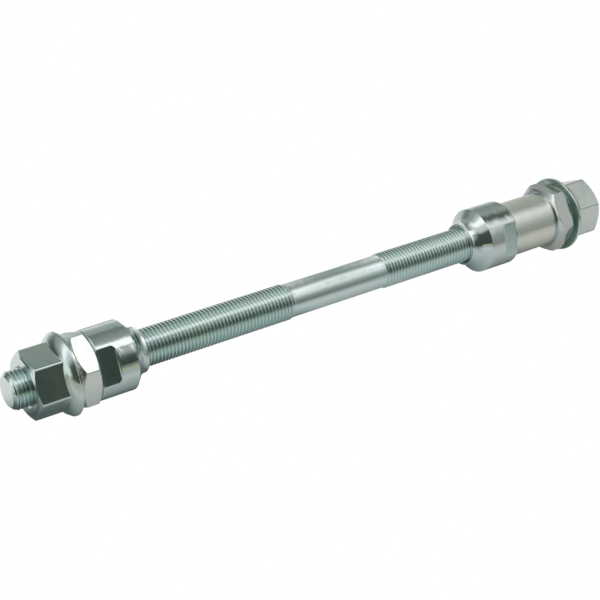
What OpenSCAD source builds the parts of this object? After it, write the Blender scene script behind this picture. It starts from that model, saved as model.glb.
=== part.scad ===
// Rear hub axle for a bicycle wheel: a rod with a rolled thread at each end, and on it,
// from each end inwards, a flanged axle nut, a thin locknut and a bearing cone, with a
// tubular spacer between the right-hand cone and its locknut.
// The rod lies along Y with its middle at the origin. Its left end, on the left of someone
// who rides towards +X, is at +Y, and the spacer is on the right, where the chain runs.

/* [Axle rod] */
// Length of the rod from end to end
axle_len = 180; // [160:1:200]
// Diameter over the thread crests
thread_d = 9.4; // [9:0.05:10]
// Pitch of the thread, which sets the blank that it is rolled on
thread_pitch = 1; // [0.8:0.01:1.25]
// Length of thread measured from the left end
thread_left_len = 77.3; // [60:0.1:85]
// Length of the plain shank between the two threads
shank_len = 28.7; // [10:0.1:45]
// Width of the chamfer on the rod's ends
end_chamfer = 1; // [0.2:0.1:1.5]
// Length of rod that shows beyond the left axle nut
left_out = 4.2; // [0:0.1:10]
// Length of rod that shows beyond the right axle nut
right_out = 0.7; // [0:0.1:10]

/* [Axle nuts] */
// Width across the flats of the axle nut
nut_af = 15; // [14:0.5:16]
// Height from the flange's underside to the outer face
nut_h = 10.5; // [8:0.1:14]
// Inset of the bevel's circle from the flats, on the outer face
nut_bevel_inset = 0.4; // [0.1:0.05:0.8]
// Diameter of the flange
flange_d = 20.6; // [19.6:0.1:24]
// Thickness of the flange at its rim
rim_t = 0.75; // [0.6:0.05:2]
// Radius of the round that the flange's top is turned to
dome_r = 5.3; // [4.5:0.1:9]
// Slope of the flange's top where it meets the rim
dome_slope = 62; // [40:1:75]
// Bevel on the rim's two edges
rim_bevel = 0.15; // [0.05:0.05:0.25]
// Outer diameter of the serrated ring under the flange
grip_d = 16.8; // [15:0.1:19]
// Inner diameter of the serrated ring
grip_bore_d = 12.6; // [11:0.1:14]
// Height of the serrated ring
grip_h = 0.3; // [0.2:0.05:1]
// Number of serrations
grip_teeth = 30; // [18:1:36]
// Depth of the notch between two serrations
notch_depth = 0.25; // [0.1:0.05:0.8]
// Width of the notch at the teeth's tips
notch_w = 0.8; // [0.4:0.1:1.1]

/* [Locknuts] */
// Width across the flats of the locknut
lock_af = 17; // [16:0.5:19]
// Thickness of the locknut without its raised face
lock_t = 5.1; // [3:0.1:8]
// Inset of the bevel's circle from the flats
lock_bevel_inset = 0.4; // [0.1:0.05:0.8]
// Diameter of the raised face that meets the frame
pad_d = 15.4; // [13:0.1:15.8]
// Height of the raised face
pad_h = 0.3; // [0.1:0.05:0.8]

/* [Bearing cones] */
// Diameter of the cone's body
cone_d = 17.6; // [16.8:0.1:19]
// Length of the body from the outer face to the ball race
cone_body = 9.6; // [7:0.1:14]
// Radius of the round edge at the outer face
cone_edge = 0.4; // [0.1:0.05:0.8]
// Angle, from the axis, at which the race runs out to the body's rim
race_angle = 50; // [35:1:65]
// Diameter of the bearing balls
ball_d = 6.35; // [5.5:0.05:7]
// Extra radius of the race over the ball's
race_ease = 0.125; // [0.05:0.005:0.3]
// Diameter of the neck under the race
neck_d = 11.5; // [11.2:0.1:12.5]
// Length of the neck from the race's lowest point to the small end
neck_len = 0.3; // [0.3:0.1:4]
// Edge break at the small end
nose_bevel = 0.2; // [0.05:0.05:0.25]
// Width across the wrench flats
cone_af = 15; // [14:0.1:16]
// Length of the wrench flats up to the round that ends them
cone_flat_len = 3.8; // [2:0.1:6]
// Radius that the milling cutter leaves at the end of the flats
cutter_round = 1.3; // [0.3:0.1:3]

/* [Spacer] */
// Diameter of the spacer
spacer_d = 15; // [13:0.1:17]
// Length of the spacer
spacer_len = 14.8; // [5:0.1:25]
// Gap between the spacer's bore and the thread crests, on the radius
spacer_gap = 0.2; // [0.1:0.05:0.5]
// Edge break at the spacer's ends
spacer_bevel = 0.3; // [0.1:0.05:0.6]

/* [Fits and turned positions] */
// Gap between a threaded bore and the thread crests, on the radius
thread_gap = 0.04; // [0.02:0.01:0.1]
// Depth of the countersink at the mouth of a threaded bore
sink = 0.4; // [0.1:0.05:0.7]
// Angle of a corner of the left axle nut, up from the horizontal
nut_left_turn = 52; // [0:1:60]
// Angle of a corner of the left locknut
lock_left_turn = 23; // [0:1:60]
// Angle of the middle of the left cone's flats
cone_left_turn = 21; // [0:1:180]
// Angle of the middle of the right cone's flats
cone_right_turn = 11; // [0:1:180]
// Angle of a corner of the right locknut
lock_right_turn = 5; // [0:1:60]
// Angle of a corner of the right axle nut
nut_right_turn = 26; // [0:1:60]

/* [Hidden] */
$fn = 96;
eps = 0.01;
bevel_angle = 32;
zinc = "lightgray";
bright = "silver";

// The blank of a rolled thread has the thread's pitch diameter.
shank_d = thread_d - 0.6495 * thread_pitch;
bore_d = thread_d + 2 * thread_gap;

// The race is an arc that is tangent to the neck. At race_angle it goes over into a
// straight slope, which ends at the body's rim.
race_r = ball_d / 2 + race_ease;
race_centre_r = neck_d / 2 + race_r;
race_end_r = race_centre_r - race_r * cos(race_angle);
race_slope_len = (cone_d / 2 - race_end_r) / tan(race_angle);
race_centre_u = cone_body + race_slope_len + race_r * sin(race_angle);
cone_len = race_centre_u + neck_len;

// Distances from the rod's left end, each taken from the piece that it seats on.
nut_left_foot = left_out + nut_h;
lock_left_foot = nut_left_foot + grip_h + pad_h + lock_t;
nut_right_foot = axle_len - right_out - nut_h;
lock_right_foot = nut_right_foot - grip_h - pad_h - lock_t;
cone_right_foot = lock_right_foot - spacer_len;

// A hexagonal prism with its corners at 0, 60, ... degrees
module hex_prism(af, h) {
    cylinder(d = af / cos(30), h = h, $fn = 6);
}

// Hexagon whose corners are bevelled at its top, or at both ends. The bevel is part of a
// ball: it leaves the end face on a circle inset from the flats, and half-way out to the
// corners it slopes by bevel_angle.
module bevelled_hex(af, h, inset, both) {
    face_r = af / 2 - inset;
    corner_r = af / 2 / cos(30);
    ball_r = (face_r + corner_r) / 2 / sin(bevel_angle);
    depth = sqrt(ball_r * ball_r - face_r * face_r);
    intersection() {
        hex_prism(af, h);
        translate([0, 0, h - depth]) sphere(r = ball_r);
        if (both) translate([0, 0, depth]) sphere(r = ball_r);
    }
}

// Bore for the thread, with a countersink at each end
module thread_bore(length) {
    mouth_d = bore_d + 2 * sink;
    translate([0, 0, -eps]) cylinder(d = bore_d, h = length + 2 * eps);
    translate([0, 0, -eps]) cylinder(d1 = mouth_d + 2 * eps, d2 = bore_d, h = sink + eps);
    translate([0, 0, length - sink])
        cylinder(d1 = bore_d, d2 = mouth_d + 2 * eps, h = sink + eps);
}

// Serrated ring under the flange, from its teeth's tips at -grip_h up to the flange
module grip_ring() {
    difference() {
        translate([0, 0, -grip_h]) cylinder(d = grip_d, h = grip_h + eps);
        translate([0, 0, -grip_h - eps]) cylinder(d = grip_bore_d, h = grip_h + 3 * eps);
        for (i = [0 : grip_teeth - 1])
            rotate(i * 360 / grip_teeth)
                translate([grip_bore_d / 2 - 1, 0, -grip_h])
                    rotate([90, 0, 90])
                        linear_extrude((grip_d - grip_bore_d) / 2 + 2)
                            polygon([[-notch_w / 2, -eps], [notch_w / 2, -eps],
                                     [0, min(notch_depth, grip_h - 0.05)]]);
    }
}

// Half section of the flange: a straight rim with a round top inside it, which passes
// under the hexagon
module flange_section() {
    flange_r = flange_d / 2;
    top_r = flange_r - rim_bevel;
    union() {
        polygon([[0, 0], [top_r, 0], [flange_r, rim_bevel], [flange_r, rim_t - rim_bevel],
                 [top_r, rim_t], [0, rim_t]]);
        intersection() {
            translate([top_r - dome_r * sin(dome_slope), rim_t - dome_r * cos(dome_slope)])
                circle(r = dome_r);
            translate([nut_af / 2 - 2, 0]) square([top_r - nut_af / 2 + 2, dome_r * 2]);
        }
    }
}

// Axle nut standing on its flange, outer face up
module axle_nut() {
    color(zinc)
    difference() {
        union() {
            bevelled_hex(nut_af, nut_h, nut_bevel_inset, false);
            rotate_extrude() flange_section();
            grip_ring();
        }
        thread_bore(nut_h);
        translate([0, 0, -grip_h - eps]) cylinder(d = grip_bore_d, h = grip_h + eps);
    }
}

// Locknut standing on its inner face, raised face up
module locknut() {
    color(bright)
    difference() {
        union() {
            bevelled_hex(lock_af, lock_t, lock_bevel_inset, true);
            cylinder(d = pad_d, h = lock_t + pad_h);
        }
        thread_bore(lock_t + pad_h);
    }
}

// Bearing cone standing on its outer face, small end up; its wrench flats face X and -X
module bearing_cone() {
    body_r = cone_d / 2;
    neck_r = neck_d / 2;
    color(bright)
    difference() {
        rotate_extrude()
            difference() {
                union() {
                    polygon([[0, 0], [body_r - cone_edge, 0], [body_r, cone_edge],
                             [body_r, cone_body], [race_end_r, cone_body + race_slope_len],
                             [race_end_r, race_centre_u], [neck_r, race_centre_u],
                             [neck_r, cone_len - nose_bevel], [neck_r - nose_bevel, cone_len],
                             [0, cone_len]]);
                    translate([body_r - cone_edge, cone_edge]) circle(r = cone_edge);
                }
                translate([race_centre_r, race_centre_u]) circle(r = race_r);
            }
        wrench_flats();
        thread_bore(cone_len);
    }
}

// The path of two milling cutters, which leave a flat on each side of the cone. Each flat
// runs out through the round of the cutter's edge.
module wrench_flats() {
    for (side = [0, 180])
        rotate(side)
            translate([cone_af / 2, cone_d / 2, 0])
                rotate([90, 0, 0])
                    linear_extrude(cone_d)
                        union() {
                            translate([0, -eps]) square([cone_d, cone_flat_len + eps]);
                            translate([cutter_round, cone_flat_len])
                                circle(r = cutter_round);
                            translate([cutter_round, cone_flat_len])
                                square([cone_d, cutter_round]);
                        }
}

module axle() {
    thread_r = thread_d / 2;
    shank_r = shank_d / 2;
    runout = thread_r - shank_r;
    shank_right = thread_left_len + shank_len;
    color(zinc)
    lay(0, -1, 0)
        rotate_extrude()
            polygon([[0, 0], [thread_r - end_chamfer, 0], [thread_r, end_chamfer],
                     [thread_r, thread_left_len - runout], [shank_r, thread_left_len],
                     [shank_r, shank_right], [thread_r, shank_right + runout],
                     [thread_r, axle_len - end_chamfer],
                     [thread_r - end_chamfer, axle_len], [0, axle_len]]);
}

module spacer() {
    outer_r = spacer_d / 2;
    inner_r = thread_d / 2 + spacer_gap;
    color(bright)
    lay(cone_right_foot, -1, 0)
        rotate_extrude()
            polygon([[inner_r, 0], [outer_r - spacer_bevel, 0], [outer_r, spacer_bevel],
                     [outer_r, spacer_len - spacer_bevel],
                     [outer_r - spacer_bevel, spacer_len], [inner_r, spacer_len]]);
}

// Lays a piece that was modelled standing up along the rod: its foot comes to that
// distance from the rod's left end, and its top points to way (1 is left, -1 is right).
// Its own X axis points to -X and is then turned up by the angle.
module lay(distance, way, up) {
    translate([0, axle_len / 2 - distance, 0])
        rotate([0, up, 0])
            rotate([way * 90, 0, 180])
                children();
}

module nut_left() { lay(nut_left_foot, 1, nut_left_turn) axle_nut(); }
module locknut_left() { lay(lock_left_foot, 1, lock_left_turn) locknut(); }
module cone_left() { lay(lock_left_foot, -1, cone_left_turn) bearing_cone(); }
module cone_right() { lay(cone_right_foot, 1, cone_right_turn) bearing_cone(); }
module locknut_right() { lay(lock_right_foot, -1, lock_right_turn) locknut(); }
module nut_right() { lay(nut_right_foot, -1, nut_right_turn) axle_nut(); }

axle();
nut_left();
locknut_left();
cone_left();
cone_right();
spacer();
locknut_right();
nut_right();
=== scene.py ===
"""Rear hub axle: the surfaces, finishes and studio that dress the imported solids.

Every piece is a surface worked out as whole arrays. A piece that fits on the rod is a section, a list of
points (radius, height) that may change with the angle about the rod, whose corners are rounded and which is
then carried round the rod. The rod's threads are a grid that runs along their helix.
"""

import math

import bmesh
import bpy
import numpy as np
from bpy.props import FloatProperty, FloatVectorProperty, IntProperty, PointerProperty
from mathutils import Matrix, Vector


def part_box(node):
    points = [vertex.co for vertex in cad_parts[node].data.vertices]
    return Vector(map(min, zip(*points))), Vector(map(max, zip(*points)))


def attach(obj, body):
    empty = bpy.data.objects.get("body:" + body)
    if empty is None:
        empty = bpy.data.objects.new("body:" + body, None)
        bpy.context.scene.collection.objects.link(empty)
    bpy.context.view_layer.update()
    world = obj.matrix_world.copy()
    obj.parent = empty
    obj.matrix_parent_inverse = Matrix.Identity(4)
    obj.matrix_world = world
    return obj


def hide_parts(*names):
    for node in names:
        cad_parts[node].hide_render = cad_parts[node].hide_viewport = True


bl_info = {
    "name": "Rear Hub Axle",
    "version": (1, 0, 0),
    "blender": (4, 5, 0),
    "location": "View3D > Sidebar > Hub Axle",
    "description": "Builds a solid rear hub axle with its cones, spacer, locknuts and axle nuts",
    "category": "Add Mesh",
}

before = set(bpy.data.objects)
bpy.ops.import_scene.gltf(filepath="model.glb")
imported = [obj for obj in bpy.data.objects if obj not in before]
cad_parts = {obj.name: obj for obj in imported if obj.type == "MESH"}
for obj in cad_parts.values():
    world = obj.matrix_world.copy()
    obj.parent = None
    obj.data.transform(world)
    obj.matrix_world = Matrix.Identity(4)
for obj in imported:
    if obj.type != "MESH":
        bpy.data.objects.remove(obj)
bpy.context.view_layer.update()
MM = 0.001

# Vertices nearer to each other than WELD become one, and faces thinner than SLIVER go. A vertex within TOUCH
# of a face counts as lying on it. TINY keeps a division from failing.
WELD = 0.0015 * MM
SLIVER = 0.0005 * MM
TOUCH = 0.01 * MM
TINY = 1e-9


def millimetres(label, size, about):
    """A length property whose default is given in millimetres."""
    return FloatProperty(name=label, description=about, default=size * MM, unit="LENGTH", precision=5)


def angle(label, degrees, about):
    """An angle property whose default is given in degrees."""
    return FloatProperty(name=label, description=about, default=math.radians(degrees), subtype="ANGLE")


def tint(label, colour, about):
    """A colour property."""
    return FloatVectorProperty(
        name=label, description=about, default=colour, size=3, subtype="COLOR", min=0, max=1)


class RodSizes(bpy.types.PropertyGroup):
    """Sizes of the threaded rod"""

    pitch: millimetres("Pitch", 1.0, "Travel for one turn of the thread")
    left_thread: millimetres("Left thread", 77.3, "Length of thread from the left end")
    shank: millimetres("Shank", 28.7, "Length of the plain shank between the threads")
    chamfer: millimetres("Chamfer", 1.0, "Width of the chamfer at the rod's ends")
    runout: millimetres("Run-out", 1.1, "Length over which the thread fades into the shank")
    segments: IntProperty(name="Segments", description="Grid columns round the rod", default=60, min=16)


class NutSizes(bpy.types.PropertyGroup):
    """Sizes of the flanged axle nuts"""

    across_flats: millimetres("Across flats", 15.0, "Spanner size")
    corner: millimetres("Corner round", 0.8, "Radius on the hexagon's corners")
    bevel_inset: millimetres("Bevel inset", 0.4, "Inset of the bevel's circle from the flats")
    bevel_angle: angle("Bevel angle", 32, "Slope of the round bevel half-way out to the corners")
    rim: millimetres("Rim", 0.75, "Thickness of the flange at its rim")
    rim_bevel: millimetres("Rim bevel", 0.15, "Bevel on the rim's edges")
    dome: millimetres("Dome radius", 5.3, "Radius that the flange's top is turned to")
    dome_slope: angle("Dome slope", 62, "Slope of the flange's top at the rim")
    grip_height: millimetres("Grip height", 0.3, "Height of the serrated ring under the flange")
    grip_outer: millimetres("Grip outer radius", 8.4, "Outer radius of the serrated ring")
    grip_inner: millimetres("Grip inner radius", 6.3, "Inner radius of the serrated ring")
    teeth: IntProperty(name="Teeth", description="Serrations on the ring", default=30, min=6)
    notch: millimetres("Notch", 0.25, "Depth between two serrations")
    left_turn: angle("Left turn", 52, "Angle of a corner of the left nut above the horizontal")
    right_turn: angle("Right turn", 26, "Angle of a corner of the right nut above the horizontal")


class LocknutSizes(bpy.types.PropertyGroup):
    """Sizes of the locknuts"""

    across_flats: millimetres("Across flats", 17.0, "Spanner size")
    corner: millimetres("Corner round", 0.3, "Radius on the hexagon's corners")
    bevel_inset: millimetres("Bevel inset", 0.4, "Inset of the bevel's circle from the flats")
    bevel_angle: angle("Bevel angle", 32, "Slope of the round bevels half-way out to the corners")
    pad_radius: millimetres("Pad radius", 7.7, "Radius of the raised face that meets the frame")
    pad_height: millimetres("Pad height", 0.3, "Height of the raised face")
    left_turn: angle("Left turn", 23, "Angle of a corner of the left locknut above the horizontal")
    right_turn: angle("Right turn", 5, "Angle of a corner of the right locknut above the horizontal")


class ConeSizes(bpy.types.PropertyGroup):
    """Sizes of the bearing cones"""

    body: millimetres("Body", 9.6, "Length of the body from the outer face to the ball race")
    edge: millimetres("Outer edge", 0.4, "Radius of the round edge at the outer face")
    race: millimetres("Race radius", 3.3, "Radius of the race's hollow")
    race_angle: angle("Race angle", 50, "Angle at which the race runs out to the rim")
    neck: millimetres("Neck radius", 5.75, "Radius of the neck under the race")
    nose_bevel: millimetres("Nose bevel", 0.2, "Edge break at the small end")
    across_flats: millimetres("Across flats", 15.0, "Cone spanner size")
    flat_length: millimetres("Flat length", 3.8, "Length of the flats up to the round that ends them")
    cutter: millimetres("Cutter round", 1.3, "Radius that the milling cutter leaves at the flats' end")
    left_turn: angle("Left turn", 21, "Angle of the left cone's flats above the horizontal")
    right_turn: angle("Right turn", 11, "Angle of the right cone's flats above the horizontal")


class FitSizes(bpy.types.PropertyGroup):
    """Sizes that several pieces share"""

    thread_gap: millimetres("Thread gap", 0.04, "Gap between a threaded bore and the crests")
    sink: millimetres("Countersink", 0.4, "Depth of the countersink at a threaded bore's mouth")
    spacer_gap: millimetres("Spacer gap", 0.2, "Gap between the spacer's bore and the crests")
    spacer_bevel: millimetres("Spacer bevel", 0.3, "Edge break at the spacer's ends")
    edge: millimetres("Edge round", 0.07, "Radius on the machined edges")


class Finishes(bpy.types.PropertyGroup):
    """Colours and gloss of the platings"""

    rod: tint("Rod", (0.75, 0.82, 0.80), "Zinc plate on the rod")
    nuts: tint("Axle nuts", (0.78, 0.83, 0.81), "Zinc plate on the axle nuts")
    locknuts: tint("Locknuts", (0.83, 0.83, 0.825), "Zinc plate on the locknuts")
    cones: tint("Cones", (0.79, 0.83, 0.82), "Bright plate on the ground cones")
    spacer: tint("Spacer", (0.865, 0.86, 0.80), "Satin plate on the spacer")


class StudioSettings(bpy.types.PropertyGroup):
    """Camera and light"""

    focal_length: FloatProperty(
        name="Focal length", description="Lens for a sensor 36 mm wide", default=91.85, min=10)
    camera_back: millimetres("Camera behind", 283.7, "Distance of the camera from the rod, towards -X")
    camera_left: millimetres("Camera left", 203.5, "Distance of the camera from mid-rod, towards +Y")
    camera_up: millimetres("Camera up", 185.6, "Height of the camera over the rod")
    heading: angle("Heading", -34.50, "Turn of the view from +X towards -Y")
    tilt: angle("Tilt", -28.45, "Slope of the view")


class AxleProject(bpy.types.PropertyGroup):
    """Everything that a user would change on the axle"""

    rod: PointerProperty(type=RodSizes)
    nut: PointerProperty(type=NutSizes)
    locknut: PointerProperty(type=LocknutSizes)
    cone: PointerProperty(type=ConeSizes)
    fit: PointerProperty(type=FitSizes)
    finish: PointerProperty(type=Finishes)
    studio: PointerProperty(type=StudioSettings)


def project(context):
    """The scene's own copy of the settings."""
    return context.scene.hub_axle


def span(node):
    """Lowest and highest Y of a node."""
    low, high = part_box(node)
    return low.y, high.y


def half_width(node):
    """Half of a node's width across X, which is the radius of a round node."""
    low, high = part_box(node)
    return (high.x - low.x) / 2


def widest(node):
    """Radius of a node's widest round part, which may be cut by flats on some sides."""
    low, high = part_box(node)
    return max(high.x, high.z, -low.x, -low.z)


def rounded(points, radii, steps=4, guard=0.03 * MM):
    """Rounds the corners of a closed section.

    points has shape (corner, 2, column) and radii one number for each corner. Each corner becomes an arc that
    is tangent to both of its sides, with one more point on either side, guard further on, so that a flat face
    beside it keeps its own normal. The arc turns from one radius to the other in equal steps, and takes up at
    most 0.4 of the shorter side.
    """
    before = np.roll(points, 1, axis=0) - points
    after = np.roll(points, -1, axis=0) - points
    rows = []
    turn = np.linspace(0, 1, steps + 1)[:, None, None]
    for corner, a, b, radius in zip(points, before, after, radii):
        if not radius:
            rows.append(corner[None])
            continue
        a_len = np.maximum(np.linalg.norm(a, axis=0), TINY)
        b_len = np.maximum(np.linalg.norm(b, axis=0), TINY)
        shorter = np.minimum(a_len, b_len)
        a = a / a_len
        b = b / b_len
        cosine = np.clip((a * b).sum(0), -0.9999, 0.9999)
        half = np.arccos(cosine) / 2
        reach = np.minimum(radius / np.tan(half), 0.4 * shorter)
        radius = reach * np.tan(half)
        centre = corner + (a + b) / np.maximum(np.linalg.norm(a + b, axis=0), TINY) * radius / np.sin(half)
        start = corner + a * reach - centre
        end = corner + b * reach - centre
        sweep = np.maximum(math.pi - 2 * half, 1e-4)
        arc = (np.sin((1 - turn) * sweep) * start + np.sin(turn * sweep) * end) / np.sin(sweep) + centre
        extra = np.minimum(guard, 0.2 * (shorter - reach))
        rows += [(corner + a * (reach + extra))[None], arc, (corner + b * (reach + extra))[None]]
    return np.concatenate(rows)


def all_round(step):
    """Angles right round the rod, in even steps of so many degrees."""
    return np.arange(0, 360, step) * math.pi / 180


def corner_round(across_flats, corner):
    """How far from the axis the arc on a hexagon's corner has its centre, and the angle at which it ends."""
    centre = (across_flats / 2 - corner) / math.cos(math.pi / 6)
    return centre, math.atan2(corner / 2, centre + corner * math.cos(math.pi / 6))


def hexagon(theta, across_flats, corner):
    """Polar radius of a hexagon with round corners, the first of them at angle 0.

    Within the round, the radius runs to an arc whose centre is set back from the sharp corner; elsewhere it
    is half the width across flats over the cosine of the angle to the flat's middle.
    """
    off = (theta + math.pi / 6) % (math.pi / 3) - math.pi / 6
    centre, limit = corner_round(across_flats, corner)
    inside = np.maximum(corner**2 - (centre * np.sin(off)) ** 2, 0)
    arc = centre * np.cos(off) + np.sqrt(inside)
    flat = across_flats / 2 / np.cos(math.pi / 6 - np.abs(off))
    return np.where(np.abs(off) < limit, arc, flat)


def hexagon_columns(across_flats, corner, step=3):
    """Angles for a hexagonal piece: every few degrees, and close together over each round corner."""
    limit = corner_round(across_flats, corner)[1]
    near = limit * np.array([-1.25, -1, -0.66, -0.33, 0.33, 0.66, 1, 1.25])
    even = np.radians(np.arange(0, 60, step))
    one = np.concatenate([even, near % (math.pi / 3)])
    return np.unique(np.concatenate([one + k * math.pi / 3 for k in range(6)]).round(9))


def bevel(side, across_flats, inset, slope, steps=5):
    """Radii and drops of a hexagon's bevel, from its side in to the end face.

    The bevel is part of a ball that leaves the end face on a circle inset from the flats, and that has the
    given slope half-way from there to the corners.
    """
    face = across_flats / 2 - inset
    ball = (face + across_flats / 2 / math.cos(math.pi / 6)) / 2 / math.sin(slope)
    radius = side + (face - side) * np.linspace(0, 1, steps)[:, None]
    return radius, math.sqrt(ball**2 - face**2) - np.sqrt(ball**2 - radius**2)


def level(theta, *points):
    """Stacks (radius, height) pairs, each a number or one value for each column, as (point, 2, column)."""
    full = [[np.broadcast_to(value, theta.shape) for value in point] for point in points]
    return np.array(full, float)


def carry(theta, section, foot, way, turn):
    """Carries a section round the rod.

    The point (radius, height) at an angle lies at foot + way * height along Y, and at that radius from the
    rod's axis. Angle 0 points to -X and is turned up by turn; the angle grows towards +Z for way 1 and
    towards -Z for way -1, which keeps the piece the right way out.
    """
    radius, height = section[:, 0], section[:, 1]
    first = np.array([-math.cos(turn), 0, math.sin(turn)])
    second = np.array([math.sin(turn), 0, math.cos(turn)]) * way
    round_rod = np.cos(theta)[None, :, None] * first + np.sin(theta)[None, :, None] * second
    along = np.array([0, 1.0, 0])
    return radius[..., None] * round_rod + (foot + way * height)[..., None] * along


def quads(rows, columns, shift=0, closed=True):
    """Vertex numbers of the faces of a grid whose columns close on themselves.

    Crossing the seam moves shift rows up, as on a helix; closed joins the last row to the first.
    """
    last = rows if closed else rows - 1
    row, column = np.meshgrid(np.arange(last), np.arange(columns), indexing="ij")
    across = (column + 1) % columns
    step = np.where(column + 1 == columns, shift, 0)
    low = row * columns + column
    high = (row + 1) % rows * columns + column
    low_next = (row + step) * columns + across
    high_next = ((row + 1 + step) % rows if closed else row + 1 + step) * columns + across
    faces = np.stack([low, low_next, high_next, high], -1).reshape(-1, 4)
    inside = (row + 1 + step < rows).ravel() | closed
    return faces[inside]


def surface(name, parts):
    """Makes one mesh object from (vertices, faces) pairs, welding what meets and dropping empty faces."""
    vertices = []
    faces = []
    count = 0
    for points, corners in parts:
        vertices.append(points.reshape(-1, 3))
        faces += (corners + count).tolist()
        count += len(vertices[-1])
    mesh = bpy.data.meshes.new(name)
    mesh.from_pydata(np.concatenate(vertices).tolist(), [], faces)
    work = bmesh.new()
    work.from_mesh(mesh)
    bmesh.ops.remove_doubles(work, verts=work.verts, dist=WELD)
    bmesh.ops.dissolve_degenerate(work, dist=SLIVER, edges=work.edges)
    for face in work.faces:
        face.smooth = True
    work.to_mesh(mesh)
    work.free()
    piece = bpy.data.objects.new(name, mesh)
    bpy.context.scene.collection.objects.link(piece)
    return piece


def ring(name, theta, section, foot, way, turn):
    """A closed section carried round the rod, as a piece."""
    points = carry(theta, section, foot, way, turn)
    return surface(name, [(points, quads(*points.shape[:2]))])


def corners_of(piece):
    """The x, y and z of a piece's vertices."""
    points = np.empty(3 * len(piece.data.vertices))
    piece.data.vertices.foreach_get("co", points)
    return points.reshape(-1, 3).T


def mark(piece, amount):
    """Stores how far each vertex is darkened, from 0 to 1: painted shade on some pieces, a duller finish on
    others.
    """
    dull = piece.data.attributes.new("dull", "FLOAT", "POINT")
    dull.data.foreach_set("value", amount.astype(float))


def seat(piece, node, material):
    """Puts a finished piece on the node that it stands for, or stops if its surface is open or empty."""
    mesh = piece.data
    if not mesh.polygons or 2 * len(mesh.edges) != len(mesh.loops):
        raise RuntimeError(f"{piece.name} is not a closed surface")
    piece.data.materials.append(material)
    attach(piece, node)
    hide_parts(node)


class Maths:
    """A socket of a material, which adds Math nodes as Python's operators are used on it."""

    def __init__(self, bench, node, output=0):
        self.bench = bench
        self.node = node
        self.socket = node.outputs[output]

    def part(self, output):
        """Another output of the same node."""
        return Maths(self.bench, self.node, output)

    def _do(self, operation, *values):
        return self.bench.add("ShaderNodeMath", {"operation": operation}, dict(enumerate(values)))

    def __add__(self, other):
        return self._do("ADD", self, other)

    def __radd__(self, other):
        return self._do("ADD", other, self)

    def __sub__(self, other):
        return self._do("SUBTRACT", self, other)

    def __rsub__(self, other):
        return self._do("SUBTRACT", other, self)

    def __mul__(self, other):
        return self._do("MULTIPLY", self, other)

    def __rmul__(self, other):
        return self._do("MULTIPLY", other, self)

    def __truediv__(self, other):
        return self._do("DIVIDE", self, other)

    def __neg__(self):
        return self._do("MULTIPLY", self, -1)

    def power(self, exponent):
        """This value to a power."""
        return self._do("POWER", self, exponent)

    def most(self, other):
        """The larger of two values."""
        return self._do("MAXIMUM", self, other)

    def angle_from(self, other):
        """The angle whose tangent is this value over the other."""
        return self._do("ARCTAN2", self, other)

    def between(self, low, high):
        """0 at low, 1 at high, and a smooth rise between them."""
        settings = {"interpolation_type": "SMOOTHSTEP"}
        return self.bench.add("ShaderNodeMapRange", settings, {0: self, 1: low, 2: high, 3: 0.0, 4: 1.0})


class Bench:
    """Builds one material, or the world, node by node."""

    def __init__(self, owner):
        owner.use_nodes = True
        self.tree = owner.node_tree
        self.tree.nodes.clear()

    def add(self, kind, settings=None, sockets=None, output=0):
        """Adds a node: its settings first, then a value or a link for each socket named or numbered."""
        node = self.tree.nodes.new(kind)
        for name, value in (settings or {}).items():
            if name == "stops":
                self._stops(node.color_ramp, value)
            else:
                setattr(node, name, value)
        for name, value in (sockets or {}).items():
            if isinstance(value, Maths):
                self.tree.links.new(value.socket, node.inputs[name])
            else:
                node.inputs[name].default_value = value
        return Maths(self, node, output) if node.outputs else node

    def _stops(self, ramp, stops):
        while len(ramp.elements) < len(stops):
            ramp.elements.new(0.5)
        for element, (place, colour) in zip(ramp.elements, stops):
            element.position = place
            element.color = (*colour, 1)

    def point(self):
        """The point that is shaded, in the object's own coordinates, and its x, y and z."""
        point = self.add("ShaderNodeTexCoord", {}, {}, "Object")
        split = self.add("ShaderNodeSeparateXYZ", {}, {0: point})
        return point, split, split.part(1), split.part(2)

    def noise(self, vector, cells, detail=2.0, roughness=0.5):
        """Soft noise, from about 0.3 to 0.7, with so many cells in a metre."""
        return self.add("ShaderNodeTexNoise", {}, {
            "Vector": vector, "Scale": cells, "Detail": detail, "Roughness": roughness})

    def mix(self, factor, first, second):
        """A colour between two."""
        return self.add("ShaderNodeMix", {"data_type": "RGBA"}, {0: factor, 6: first, 7: second}, 2)

    def combine(self, x, y, z):
        """A vector from three numbers."""
        return self.add("ShaderNodeCombineXYZ", {}, {0: x, 1: y, 2: z})


def shade(colour, factors):
    """A colour with each channel made darker or lighter by its factor, as a socket's value."""
    return (*(min(1.0, channel * factor) for channel, factor in zip(colour, factors)), 1.0)


# Cells in a metre of each noise on the platings.
CLOUDS = 170
WAVES = 420
GRAIN = 2600
TURNING = 5200
TOOLING = 2300
# Factors on a plating's colour: its bluer side, its yellower side and its specks.
BLUER = (0.90, 0.965, 1.02)
YELLOWER = (1.03, 1.0, 0.96)
SPECKS = (0.6, 0.6, 0.6)
SPECK_SHARE = 0.12


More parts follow.
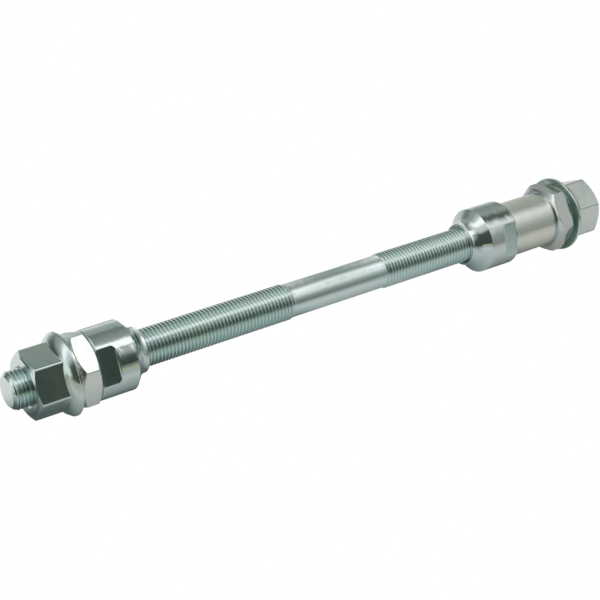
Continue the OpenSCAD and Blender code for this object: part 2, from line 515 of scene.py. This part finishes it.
def plating(name, colour, gloss, patches, pits, lines=0.002 * MM, waves=0.04 * MM, dark=(0.45, 0.6, 0.55),
            rub=0.35, tooling=0.0):
    """A plated steel finish.

    gloss is the roughness of the clean plate, patches how far the tint wanders between its bluer and its
    yellower side, pits the height of the fine texture, lines that of the turning marks round the rod and
    waves that of the slow unevenness that makes reflections wander. Where the attribute that mark stores
    is 1, the colour is multiplied by dark, the roughness goes up by rub, and marks of the height of tooling
    run straight across the rod. That darkening is painted shade on the rod's grooves and the right nut's
    underside, and a duller finish on the cones' flats.
    """
    material = bpy.data.materials.new(name)
    bench = Bench(material)
    point, x, along, z = bench.point()
    radius = (x * x + z * z).power(0.5)
    cloud = bench.noise(point, CLOUDS, 3.0)
    grain = bench.noise(point, GRAIN, 3.0, 0.6)
    wave = bench.noise(point, WAVES, 1.0)
    turned = bench.noise(bench.combine(radius, along, 0.0), TURNING)
    dull = bench.add("ShaderNodeAttribute", {"attribute_name": "dull"}, {}, "Fac")
    wander = (cloud - 0.5) * patches + 0.5
    base = bench.mix(wander, shade(colour, BLUER), shade(colour, YELLOWER))
    base = bench.mix(grain.between(0.62, 0.75) * SPECK_SHARE, base, shade(colour, SPECKS))
    base = bench.mix(dull, base, shade(colour, dark))
    rough = gloss + (grain - 0.5) * 0.10 + (cloud - 0.5) * 0.08 + dull * rub
    height = (turned - 0.5) * lines + (grain - 0.5) * pits + (wave - 0.5) * waves
    if tooling:
        marks = bench.noise(bench.combine(0.0, along, 0.0), TOOLING)
        height = height + (marks - 0.5) * dull * tooling
    bump = bench.add("ShaderNodeBump", {}, {"Strength": 1.0, "Distance": 1.0, "Height": height})
    steel = bench.add("ShaderNodeBsdfPrincipled", {}, {
        "Base Color": base, "Metallic": 1.0, "Roughness": rough, "Normal": bump})
    bench.add("ShaderNodeOutputMaterial", {}, {"Surface": steel})
    return material


class HUBAXLE_OT_rod(bpy.types.Operator):
    """Make the rod with its two rolled threads"""

    bl_idname = "hub_axle.rod"
    bl_label = "Rod"

    # Places in one pitch, from the middle of a crest, and how deep the groove is there: a rolled thread whose
    # crests and roots are round.
    PROFILE = (
        (-0.15, 0.03), (-0.08, 0), (0.08, 0), (0.15, 0.03), (0.23, 0.3), (0.33, 0.78), (0.43, 0.98),
        (0.57, 0.98), (0.67, 0.78), (0.77, 0.3))
    # In pitches: the depth of the groove, and how much less than the crests the shank measures across. It has
    # the thread's pitch diameter.
    DEPTH = 0.4
    SHANK_DROP = 0.6495
    # Height over the axis as a share of the radius, and how dark the groove is there: darkest on top and
    # lightest in the bright line just below. It is painted on to bring out the photo's bright line, and is no
    # property of the plate.
    SHADOW = ((0.6, 0.75), (0.74, 0.08), (0.84, 0.08), (0.93, 1.1))
    SHANK_ROWS = 30

    def thread(self, low, high, radius, shank_radius, fade_from, fade_to, end):
        """One thread between two places along the rod, with a turn to spare at either of them.

        Row and column give a point on the helix: it lies at (row's place + turns) pitches along the rod and
        at the groove's radius, which goes over into the shank's radius from fade_from to fade_to and stays
        under the chamfer's cone at the rod's end. What would lie past the two places is laid on them.
        """
        sizes = project(bpy.context).rod
        place, depth = np.array(self.PROFILE).T
        turns = int((high - low) / sizes.pitch) + 3
        start = (np.arange(turns)[:, None] - 1 + place).ravel()
        groove = np.tile(depth, turns)
        column = np.arange(sizes.segments) / sizes.segments
        exact = low + (start[:, None] + column) * sizes.pitch
        along = np.clip(exact, low, high)
        phase = (along - low) / sizes.pitch - column
        phase = phase - np.floor(phase - place[0])
        cut = np.interp(phase, np.append(place, place[0] + 1), np.append(depth, depth[0]))
        cut = np.where(along == exact, groove[:, None], cut) * self.DEPTH * sizes.pitch
        fade = np.clip((along - fade_to) / (fade_from - fade_to), 0, 1)
        fade = fade * fade * (3 - 2 * fade)
        out = shank_radius + (radius - cut - shank_radius) * fade
        out = np.minimum(out, radius - sizes.chamfer + np.abs(along - end))
        theta = column * math.tau
        points = np.stack([-out * np.cos(theta), along, out * np.sin(theta)], -1)
        return points, quads(*out.shape, shift=len(place), closed=False)

    def execute(self, context):
        sizes = project(context).rod
        right_end, left_end = span("axle")
        radius = half_width("axle")
        shank_radius = radius - self.SHANK_DROP * sizes.pitch / 2
        shank_left = left_end - sizes.left_thread
        shank_right = shank_left - sizes.shank
        left = self.thread(
            shank_left, left_end, radius, shank_radius, shank_left + sizes.runout, shank_left, left_end)
        right = self.thread(
            right_end, shank_right, radius, shank_radius, shank_right - sizes.runout, shank_right, right_end)
        theta = np.arange(sizes.segments) / sizes.segments * math.tau
        places = np.linspace(shank_right, shank_left, self.SHANK_ROWS)
        shank = carry(theta, level(theta, *((shank_radius, y) for y in places)), 0.0, 1, 0.0)
        parts = [right, (shank, quads(*shank.shape[:2], closed=False)), left]
        face = radius - sizes.chamfer
        for end, way in ((left_end, 1), (right_end, -1)):
            steps = [(face * k, 0.0) for k in (1.0, 0.97, 0.66, 0.33, 0.0)]
            disc = carry(theta, level(theta, *steps), end, 1, 0.0)
            corners = quads(*disc.shape[:2], closed=False)
            parts.append((disc, corners if way == 1 else corners[:, ::-1]))
        rod = surface("rod", parts)
        x, y, z = corners_of(rod)
        depth = (radius - np.hypot(x, z)) / (self.DEPTH * sizes.pitch)
        threaded = (y > shank_left + sizes.runout / 2) | (y < shank_right - sizes.runout / 2)
        inside = (y < left_end - sizes.chamfer) & (y > right_end + sizes.chamfer)
        # Painted shade in the thread's grooves, in the colour dark given below: darker the deeper they are,
        # and set by SHADOW with their height round the rod.
        shadow = np.interp(z / np.maximum(np.hypot(x, z), MM), *np.array(self.SHADOW).T)
        mark(rod, np.clip(depth * shadow, 0, 1) * threaded * inside)
        material = plating(
            "rod_zinc", project(context).finish.rod, gloss=0.15, patches=1.2, pits=0.001 * MM,
            waves=0.01 * MM, dark=(0.54, 0.79, 0.73), rub=0.06)
        seat(rod, "axle", material)
        return {"FINISHED"}


class HUBAXLE_OT_nuts(bpy.types.Operator):
    """Make the two flanged axle nuts"""

    bl_idname = "hub_axle.nuts"
    bl_label = "Axle Nuts"

    def section(self, theta, height, flange, bore):
        """Half section of the nut, from the foot of its bore outwards, up over the flange and the hexagon.

        Height 0 is the flange's underside. The serrated ring under it rises and falls with the angle as a row
        of V notches that are half a step wide. The flange's top is an arc from the rim to the hexagon's side,
        so its length changes with the angle, and the bevel is part of a ball that cuts the hexagon's corners.
        """
        sizes = project(bpy.context).nut
        fit = project(bpy.context).fit
        side = hexagon(theta, sizes.across_flats, sizes.corner)
        top_radius, drop = bevel(side, sizes.across_flats, sizes.bevel_inset, sizes.bevel_angle)
        tooth = (theta * sizes.teeth / math.tau + 0.5) % 1 - 0.5
        notch = sizes.notch * np.maximum(1 - 4 * np.abs(tooth), 0)
        grip = notch - sizes.grip_height
        top = flange - sizes.rim_bevel
        centre = top - sizes.dome * math.sin(sizes.dome_slope)
        below = sizes.rim - sizes.dome * math.cos(sizes.dome_slope)
        outer = level(
            theta, (bore + fit.sink, 0.0), (sizes.grip_inner, 0.0), (sizes.grip_inner, grip),
            (sizes.grip_outer, grip), (sizes.grip_outer, 0.0), (top, 0.0), (flange, sizes.rim_bevel),
            (flange, sizes.rim - sizes.rim_bevel), (top, sizes.rim))
        meet = np.arcsin(np.clip((side - centre) / sizes.dome, -1, 1))
        slope = sizes.dome_slope + (meet - sizes.dome_slope) * np.linspace(0, 1, 9)[1:, None]
        dome = np.stack([centre + sizes.dome * np.sin(slope), below + sizes.dome * np.cos(slope)], 1)
        shoulder = np.stack([top_radius, height - drop], 1)
        inner = level(theta, (bore + fit.sink, height), (bore, height - fit.sink), (bore, fit.sink))
        points = np.concatenate([outer, dome, shoulder, inner])
        soft = fit.edge
        blunt = 2 * soft
        fillet = 7 * soft
        radii = [soft, soft, 0, 0] + [soft] * 5 + [0] * 7 + [fillet] + [blunt, 0, 0, 0, blunt] + [soft] * 3
        return rounded(points, radii)

    def execute(self, context):
        sizes = project(context).nut
        fit = project(context).fit
        theta = hexagon_columns(sizes.across_flats, sizes.corner)
        bore = half_width("axle") + fit.thread_gap
        material = plating(
            "nut_zinc", project(context).finish.nuts, gloss=0.15, patches=2.4, pits=0.002 * MM)
        for node, way, turn in (("nut_left", 1, sizes.left_turn), ("nut_right", -1, sizes.right_turn)):
            low, high = span(node)
            foot = (low if way == 1 else high) + way * sizes.grip_height
            section = self.section(theta, high - low - sizes.grip_height, widest(node), bore)
            piece = ring("axle_" + node, theta, section, foot, way, turn)
            # Painted shade from the locknut beside it: the right flange's underside is darkened and made
            # rougher, less so towards its top. The right flange's underside is dull, and less so towards its
            # top, as the photo's light shows it. The left one's is not.
            x, y, z = corners_of(piece)
            underside = (y - foot) * way < TOUCH
            lower = np.clip(2.4 - 2.0 * z / np.hypot(x, z), 0, 1)
            mark(piece, underside * lower * (node == "nut_right"))
            seat(piece, node, material)
        return {"FINISHED"}


class HUBAXLE_OT_locknuts(bpy.types.Operator):
    """Make the two locknuts"""

    bl_idname = "hub_axle.locknuts"
    bl_label = "Locknuts"

    def section(self, theta, height, bore):
        """Half section of the locknut, from the foot of its bore outwards.

        The corners of both faces are bevelled by a ball, and the upper face carries a raised round one.
        """
        sizes = project(bpy.context).locknut
        fit = project(bpy.context).fit
        side = hexagon(theta, sizes.across_flats, sizes.corner)
        radius, drop = bevel(side, sizes.across_flats, sizes.bevel_inset, sizes.bevel_angle)
        body = height - sizes.pad_height
        foot = np.stack([radius, drop], 1)[::-1]
        shoulder = np.stack([radius, body - drop], 1)
        mouth = level(theta, (bore + fit.sink, 0.0))
        inner = level(
            theta, (sizes.pad_radius, body), (sizes.pad_radius, height), (bore + fit.sink, height),
            (bore, height - fit.sink), (bore, fit.sink))
        soft = fit.edge
        blunt = 2 * soft
        radii = [soft] + [blunt, 0, 0, 0, blunt] * 2 + [soft] * 5
        return rounded(np.concatenate([mouth, foot, shoulder, inner]), radii)

    def execute(self, context):
        sizes = project(context).locknut
        theta = hexagon_columns(sizes.across_flats, sizes.corner)
        bore = half_width("axle") + project(context).fit.thread_gap
        material = plating(
            "locknut_zinc", project(context).finish.locknuts, gloss=0.14, patches=3.0, pits=0.0015 * MM)
        sides = ("locknut_left", 1, sizes.left_turn), ("locknut_right", -1, sizes.right_turn)
        for node, way, turn in sides:
            low, high = span(node)
            section = self.section(theta, high - low, bore)
            piece = ring("thin_" + node, theta, section, low if way == 1 else high, way, turn)
            seat(piece, node, material)
        return {"FINISHED"}


class HUBAXLE_OT_cones(bpy.types.Operator):
    """Make the two bearing cones"""

    bl_idname = "hub_axle.cones"
    bl_label = "Bearing Cones"

    def columns(self, radius):
        """Angles every few degrees, and close together where the flats meet the round body."""
        edge = math.acos(project(bpy.context).cone.across_flats / 2 / radius)
        near = np.radians([-0.7, -0.35, 0, 0.35, 0.7])
        close = [sign * edge + base + near for base in (0, math.pi) for sign in (1, -1)]
        return np.unique(np.concatenate([all_round(2.5), *close]).round(9) % math.tau)

    def section(self, theta, radius, length, bore):
        """Half section of the cone, from the bore's mouth in the outer face round to the small end.

        Over the wrench flats the outer radius is half the width across them over the cosine of the angle, and
        the flat ends in a round with the cutter's radius that climbs out to the body. Where a flat cuts into
        the round edge at the outer face, the edge stops at the height that it has at the flat's radius. The
        race is an arc that leaves the neck level and goes over into a straight slope.
        """
        sizes = project(bpy.context).cone
        fit = project(bpy.context).fit
        half = sizes.across_flats / 2
        # Kept over 0.2, or a flat's plane would run off to infinity.
        facing = np.maximum(np.abs(np.cos(theta)), 0.2)
        side = np.minimum(radius, half / facing)
        turn = np.linspace(0, math.pi / 2, 6)[:, None]
        edge = np.stack([radius - sizes.edge * (1 - np.sin(turn)), sizes.edge * (1 - np.cos(turn))], 1)
        edge = edge + np.zeros((1, 1, len(theta)))
        cut = edge[:, 0] > side
        edge[:, 0] = np.minimum(edge[:, 0], side)
        inset = 1 - np.clip((radius - side) / sizes.edge, 0, 1)
        lift = sizes.edge * (1 - np.sqrt(1 - inset**2))
        edge[:, 1] = np.where(cut, np.minimum(edge[:, 1], lift), edge[:, 1])
        depth = np.clip(radius * facing - half, 0, sizes.cutter)
        steps = np.append(np.linspace(0, 1, 7)[:-1], (0.95, 1))
        climb = steps[:, None] * np.arccos(1 - depth / sizes.cutter)
        reach = np.maximum(side, np.minimum(radius, (half + sizes.cutter * (1 - np.cos(climb))) / facing))
        ramp = np.stack([reach, sizes.flat_length + sizes.cutter * np.sin(climb)], 1)
        guard = 0.05 * MM
        flat = level(theta, (side, edge[-1, 1] + guard))
        outer = level(theta, (radius, ramp[-1, 1] + guard), (radius, sizes.body))
        centre = sizes.neck + sizes.race
        sweep = sizes.race_angle * (1 - np.linspace(0, 1, 15))
        race_end = centre - sizes.race * math.cos(sizes.race_angle)
        slope = (radius - race_end) / math.tan(sizes.race_angle)
        middle = sizes.body + slope + sizes.race * math.sin(sizes.race_angle)
        race = level(theta, *zip(centre - sizes.race * np.cos(sweep), middle - sizes.race * np.sin(sweep)))
        inner = level(
            theta, (sizes.neck, length - sizes.nose_bevel), (sizes.neck - sizes.nose_bevel, length),
            (bore + fit.sink, length), (bore, length - fit.sink), (bore, fit.sink))
        mouth = level(theta, (bore + fit.sink, 0.0))
        soft = fit.edge
        smooth = len(edge) + len(flat) + len(ramp) + 1
        radii = [soft] + [0] * smooth + [soft] + [0] * len(race) + [soft] * len(inner)
        return rounded(np.concatenate([mouth, edge, flat, ramp, outer, race, inner]), radii)

    def execute(self, context):
        sizes = project(context).cone
        bore = half_width("axle") + project(context).fit.thread_gap
        material = plating(
            "cone_bright", project(context).finish.cones, gloss=0.07, patches=1.0, pits=0.0006 * MM,
            lines=0.0012 * MM, dark=(0.76, 0.87, 0.86), rub=0.06, tooling=0.02 * MM)
        for node, way, turn in (("cone_left", -1, sizes.left_turn), ("cone_right", 1, sizes.right_turn)):
            low, high = span(node)
            radius = widest(node)
            theta = self.columns(radius)
            section = self.section(theta, radius, high - low, bore)
            foot = low if way == 1 else high
            piece = ring("bearing_" + node, theta, section, foot, way, turn)
            # The flats are dull, up to half-way along the cutter's round, and the round body is not.
            x, y, z = corners_of(piece)
            half = sizes.across_flats / 2
            aside = np.abs(z * math.sin(turn) - x * math.cos(turn)) - half
            outside = (np.hypot(x, z) > half - TOUCH) & (np.hypot(x, z) < radius - 2 * TOUCH)
            near = np.abs(y - foot) < sizes.flat_length + 0.5 * sizes.cutter
            mark(piece, (np.abs(aside) < 0.25 * sizes.cutter) & outside & near)
            seat(piece, node, material)
        return {"FINISHED"}


class HUBAXLE_OT_spacer(bpy.types.Operator):
    """Make the tubular spacer"""

    bl_idname = "hub_axle.spacer"
    bl_label = "Spacer"

    def execute(self, context):
        fit = project(context).fit
        low, high = span("spacer")
        length = high - low
        outer = half_width("spacer")
        inner = half_width("axle") + fit.spacer_gap
        theta = all_round(2.5)
        chamfer = fit.spacer_bevel
        points = level(
            theta, (inner, 0.0), (outer - chamfer, 0.0), (outer, chamfer), (outer, length - chamfer),
            (outer - chamfer, length), (inner, length))
        section = rounded(points, [fit.edge] * 6)
        piece = ring("spacer_tube", theta, section, low, 1, 0.0)
        material = plating(
            "spacer_satin", project(context).finish.spacer, gloss=0.26, patches=0.6, pits=0.0002 * MM,
            lines=0.0015 * MM, waves=0.02 * MM)
        seat(piece, "spacer", material)
        return {"FINISHED"}


class HUBAXLE_OT_stage(bpy.types.Operator):
    """Make the floor, the reflections' surroundings, the lamp and the camera"""

    bl_idname = "hub_axle.stage"
    bl_label = "Studio"

    # Sizes in metres, and the lamp's power in watts.
    TENT_RADIUS = 2.0
    FLOOR_HALF = 6.0
    CARD_HALF = 3.0
    FLOOR_GAP = 0.02 * MM
    CARD_LIFT = 0.01 * MM
    LAMP_SIZE = 0.5
    LAMP_POWER = 1.6
    LAMP_PLACE = (-0.25, 0.15, 0.6)
    # What the metal reflects, as (degree, brightness) about the rod: 0 is the horizon behind the camera, 90
    # straight up and 180 the horizon beyond the rod. A reflection that leans by 0.43 of its length towards
    # the right end comes from the left thread, and one that leans by 0.68 from the right nut. Each table
    # takes over from the one before it between its first two numbers. The colour is that of its dim parts.
    # The numbers were started from the photo's mean colours in bands round each piece and then corrected by
    # comparison, so they fit the photo's camera alone. From another side they light other pieces.
    TENT = (
        (-0.97, -0.88, (0.76, 1.0, 0.84), (
            (0, 0.07), (30, 0.07), (52, 0.1), (62, 0.42), (70, 0.62), (78, 0.66), (86, 0.7), (98, 1.15),
            (112, 1.15), (122, 0.6), (136, 0.36), (146, 0.34), (153, 0.2), (160, 0.1), (177, 0.1))),
        (-0.7, 0.35, (0.76, 1.0, 0.86), (
            (0, 0.058), (17, 0.068), (27, 0.14), (37, 0.37), (47, 0.5), (57, 0.44), (61, 1.2), (79, 1.2),
            (84, 0.5), (92, 0.34), (107, 0.28), (117, 0.23), (127, 0.22), (137, 0.38), (150, 0.4),
            (163, 0.5), (177, 0.85))),
        (0.38, 0.394, (0.76, 1.0, 0.8), (
            (0, 0.13), (7, 0.17), (17, 0.29), (27, 0.45), (37, 0.72), (47, 1.05), (57, 1.3), (66, 1.9),
            (79, 1.9), (87, 0.85), (97, 0.6), (107, 0.62), (123, 0.72), (137, 1.0), (157, 1.2), (177, 1.1))),
        (0.478, 0.492, (0.76, 1.0, 0.82), (
            (0, 0.27), (12, 0.29), (22, 0.36), (37, 0.6), (48, 0.82), (57, 0.68), (67, 0.5), (75, 0.58),
            (87, 0.86), (91, 0.85), (98, 0.5), (106, 0.28), (117, 0.215), (135, 0.245), (150, 0.25),
            (177, 0.37))),
        (0.543, 0.555, (0.76, 1.0, 0.8), (
            (0, 0.26), (7, 0.29), (17, 0.46), (27, 0.6), (37, 0.82), (47, 1.1), (57, 1.25), (66, 1.6),
            (72, 1.9), (81, 1.8), (88, 0.9), (97, 0.58), (107, 0.6), (117, 0.72), (127, 1.05), (137, 1.3),
            (157, 1.4), (177, 0.9))),
        (0.59, 0.602, (0.76, 1.0, 0.88), (
            (0, 0.3), (12, 0.3), (27, 0.38), (40, 0.54), (50, 0.62), (62, 0.87), (72, 0.75), (79, 0.46),
            (87, 0.17), (97, 0.1), (107, 0.22), (117, 0.34), (135, 0.33), (147, 0.3), (163, 0.34),
            (177, 0.52))),
        (0.622, 0.634, (0.88, 1.0, 0.86), (
            (0, 0.27), (12, 0.27), (27, 0.33), (40, 0.48), (50, 0.57), (62, 0.8), (72, 0.52), (79, 0.24),
            (87, 0.08), (97, 0.15), (107, 0.32), (117, 0.38), (135, 0.3), (150, 0.24), (163, 0.3),
            (177, 0.5))),
        (0.658, 0.668, (0.88, 1.0, 0.86), (
            (0, 0.4), (37, 0.48), (50, 0.55), (72, 0.62), (87, 0.55), (107, 0.36), (135, 0.3), (177, 0.55))),
        (0.72, 0.85, (0.6, 1.0, 0.85), ((0, 0.3), (60, 0.3), (95, 0.16), (125, 0.08), (177, 0.08))),
    )
    # Brightness of the card under the rod, by millimetres from the rod's line, negative towards the camera.
    # Each table takes over from the one before it between its first two numbers, which are Y in millimetres:
    # they are for the right stack, the right cone, the right thread, the shank, the left thread and the left
    # stack. The numbers were set in the same way.
    THREAD = (
        (-400, 0.2), (-150, 0.2), (-70, 0.32), (-50, 0.4), (-28, 0.52), (-15, 0.55), (-7, 0.42), (-3, 0.32),
        (2, 0.18), (6, 0.12), (20, 0.25), (120, 0.5), (250, 0.6))
    CARD = (
        (-1000, -999, (0.92, 1.0, 0.88), (
            (-400, 0.25), (-150, 0.25), (-90, 0.34), (-60, 0.44), (-30, 0.55), (-20, 0.56), (-15, 0.52),
            (-11, 0.46), (-8, 0.38), (-4, 0.24), (4, 0.14), (8, 0.35), (15, 0.7), (250, 0.6))),
        (-72, -60, (0.8, 1.0, 0.98), (
            (-400, 0.26), (-150, 0.26), (-90, 0.36), (-60, 0.46), (-30, 0.54), (-20, 0.56), (-15, 0.49),
            (-11, 0.41), (-8, 0.31), (-4, 0.16), (4, 0.1), (8, 0.35), (15, 0.7), (250, 0.6))),
        (-58, -46, (0.7, 1.0, 0.98), THREAD),
        (-31, -25, (0.8, 1.0, 0.98), (
            (-400, 0.2), (-150, 0.2), (-70, 0.34), (-50, 0.44), (-28, 0.58), (-15, 0.62), (-7, 0.5),
            (-3, 0.42), (2, 0.3), (6, 0.18), (20, 0.25), (120, 0.5), (250, 0.6))),
        (1, 7, (0.7, 1.0, 0.96), THREAD),
        (36, 56, (0.73, 1.0, 0.94), (
            (-400, 0.04), (-125, 0.05), (-86, 0.3), (-62, 0.5), (-35, 0.43), (-24, 0.52), (-19, 0.56),
            (-15, 0.49), (-12, 0.42), (-8, 0.32), (-4, 0.12), (4, 0.1), (8, 0.35), (15, 0.8), (250, 0.85))),
    )

    # Brightness over which a light is plain, and under which it has all of the dim parts' colour.
    PLAIN = 0.75
    DIM = 0.1

    def ramp(self, bench, value, dim, table):
        """Light as bright as a table gives for a value, and more of the dim colour where it is dimmer."""
        low, high = table[0][0], table[-1][0]
        peak = max(bright for _, bright in table)
        stops = []
        for place, bright in table:
            dimness = min(1.0, max(0.0, (self.PLAIN - bright) / (self.PLAIN - self.DIM)))
            colour = [bright / peak * (1 - dimness * (1 - part)) for part in dim]
            stops.append(((place - low) / (high - low), colour))
        colour = bench.add("ShaderNodeValToRGB", {"stops": stops}, {0: (value - low) / (high - low)})
        return bench.add("ShaderNodeEmission", {}, {"Color": colour, "Strength": peak})

    def blend(self, bench, light, across, along, tables):
        """Lays each of the tables for across over the light, from where along reaches its first numbers."""
        for start, end, dim, table in tables:
            lit = self.ramp(bench, across, dim, table)
            light = bench.add("ShaderNodeMixShader", {}, {0: along.between(start, end), 1: light, 2: lit})
        return light

    def surround(self, name, mesh, build):
        """Adds a piece of the surroundings with its own light."""
        thing = bpy.data.objects.new(name, mesh)
        bpy.context.scene.collection.objects.link(thing)
        material = bpy.data.materials.new(name)
        bench = Bench(material)
        bench.add("ShaderNodeOutputMaterial", {}, {"Surface": build(bench)})
        mesh.materials.append(material)
        return thing

    def tent(self, bench):
        """Light that depends on the angle about the rod and on the lean towards either end of it."""
        _, x, y, z = bench.point()
        degrees = z.angle_from(-x) * (180 / math.pi)
        light = bench.add("ShaderNodeEmission", {}, {"Color": (0.9, 1.0, 0.95, 1), "Strength": 0.9})
        return self.blend(bench, light, degrees, -y / self.TENT_RADIUS, self.TENT)

    def card(self, bench):
        """Light that depends on the distance from the rod's line, and on what stands over it.

        In front of the left thread and stack it has a yellowish band.
        """
        _, x, y, _ = bench.point()
        x = x * (1 / MM)
        y = y * (1 / MM)
        light = self.blend(bench, bench.add("ShaderNodeEmission"), x, y, self.CARD)
        glow = bench.add("ShaderNodeEmission", {}, {"Color": (0.9, 0.92, 0.5, 1), "Strength": 0.48})
        band = x.between(-105, -80) * (1 - x.between(-62, -30)) * y.between(5, 25) * 0.8
        return bench.add("ShaderNodeMixShader", {}, {0: band, 1: light, 2: glow})

    def floor(self, bench):
        """A floor that is plain white to the camera and nearly so to reflections."""
        camera = bench.add("ShaderNodeLightPath")
        seen = (camera.part("Is Glossy Ray") * 0.8).most(camera)
        white = bench.add("ShaderNodeEmission", {}, {"Color": (1, 1, 1, 1), "Strength": 1.0})
        matt = bench.add("ShaderNodeBsdfDiffuse", {}, {"Color": (0.92, 0.92, 0.92, 1)})
        return bench.add("ShaderNodeMixShader", {}, {0: seen, 1: matt, 2: white})

    def dome(self, radius):
        """A sphere round the object: a grid over the angle about the rod and the angle along it."""
        about = np.linspace(0, math.tau, 97)[:-1]
        along = np.linspace(0, math.pi, 49)
        section = np.stack([radius * np.sin(along), -radius * np.cos(along)], 1)
        points = carry(about, np.repeat(section[:, :, None], len(about), 2), 0.0, 1, 0.0)
        mesh = bpy.data.meshes.new("tent")
        mesh.from_pydata(points.reshape(-1, 3).tolist(), [], quads(*points.shape[:2], closed=False).tolist())
        return mesh

    def sheet(self, name, half, height):
        """A square level sheet."""
        corners = [(-half, -half, height), (half, -half, height), (half, half, height), (-half, half, height)]
        mesh = bpy.data.meshes.new(name)
        mesh.from_pydata(corners, [], [(0, 1, 2, 3)])
        return mesh

    def execute(self, context):
        studio = project(context).studio
        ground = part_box("nut_left")[0].z - self.FLOOR_GAP
        self.surround("floor", self.sheet("floor", self.FLOOR_HALF, ground), self.floor)
        card = self.surround("card", self.sheet("card", self.CARD_HALF, ground + self.CARD_LIFT), self.card)
        tent = self.surround("tent", self.dome(self.TENT_RADIUS), self.tent)
        for thing in (card, tent):
            thing.visible_camera = False
            thing.visible_diffuse = False
            thing.visible_shadow = False

        world = context.scene.world or bpy.data.worlds.new("studio")
        context.scene.world = world
        bench = Bench(world)
        sky = bench.add("ShaderNodeBackground", {}, {"Color": (1, 1, 1, 1), "Strength": 0.85})
        bench.add("ShaderNodeOutputWorld", {}, {"Surface": sky})

        lamp = bpy.data.lights.new("key", "AREA")
        lamp.size = self.LAMP_SIZE
        lamp.energy = self.LAMP_POWER
        key = bpy.data.objects.new("key", lamp)
        key.location = self.LAMP_PLACE
        key.rotation_mode = "QUATERNION"
        key.rotation_quaternion = Vector(key.location).to_track_quat("Z", "Y")
        key.visible_glossy = False
        context.scene.collection.objects.link(key)

        lens = bpy.data.cameras.new("camera")
        lens.sensor_width = 36
        lens.lens = studio.focal_length
        lens.clip_start = 0.01
        lens.clip_end = 50
        camera = bpy.data.objects.new("camera", lens)
        camera.location = (-studio.camera_back, studio.camera_left, studio.camera_up)
        ahead = math.cos(studio.tilt)
        across = math.sin(studio.heading) * ahead
        look = Vector((math.cos(studio.heading) * ahead, across, math.sin(studio.tilt)))
        camera.rotation_mode = "QUATERNION"
        camera.rotation_quaternion = look.to_track_quat("-Z", "Y")
        context.scene.collection.objects.link(camera)
        context.scene.camera = camera
        context.scene.view_settings.view_transform = "Standard"
        return {"FINISHED"}


GROUPS = (RodSizes, NutSizes, LocknutSizes, ConeSizes, FitSizes, Finishes, StudioSettings, AxleProject)
OPERATORS = (
    HUBAXLE_OT_rod, HUBAXLE_OT_nuts, HUBAXLE_OT_locknuts, HUBAXLE_OT_cones, HUBAXLE_OT_spacer,
    HUBAXLE_OT_stage)


class HUBAXLE_PT_panel(bpy.types.Panel):
    """Lists the axle's pieces in the sidebar"""

    bl_label = "Hub Axle"
    bl_idname = "HUBAXLE_PT_panel"
    bl_space_type = "VIEW_3D"
    bl_region_type = "UI"
    bl_category = "Hub Axle"

    def draw(self, context):
        for operator in OPERATORS:
            self.layout.operator(operator.bl_idname)


def register():
    """Adds the classes and the scene's settings."""
    for kind in (*GROUPS, *OPERATORS, HUBAXLE_PT_panel):
        bpy.utils.register_class(kind)
    bpy.types.Scene.hub_axle = PointerProperty(type=AxleProject)


def unregister():
    """Takes them away again."""
    del bpy.types.Scene.hub_axle
    for kind in reversed((*GROUPS, *OPERATORS, HUBAXLE_PT_panel)):
        bpy.utils.unregister_class(kind)


def main():
    """Makes every piece in order."""
    register()
    for operator in OPERATORS:
        group, name = operator.bl_idname.split(".")
        getattr(getattr(bpy.ops, group), name)()


if __name__ == "__main__":
    main()
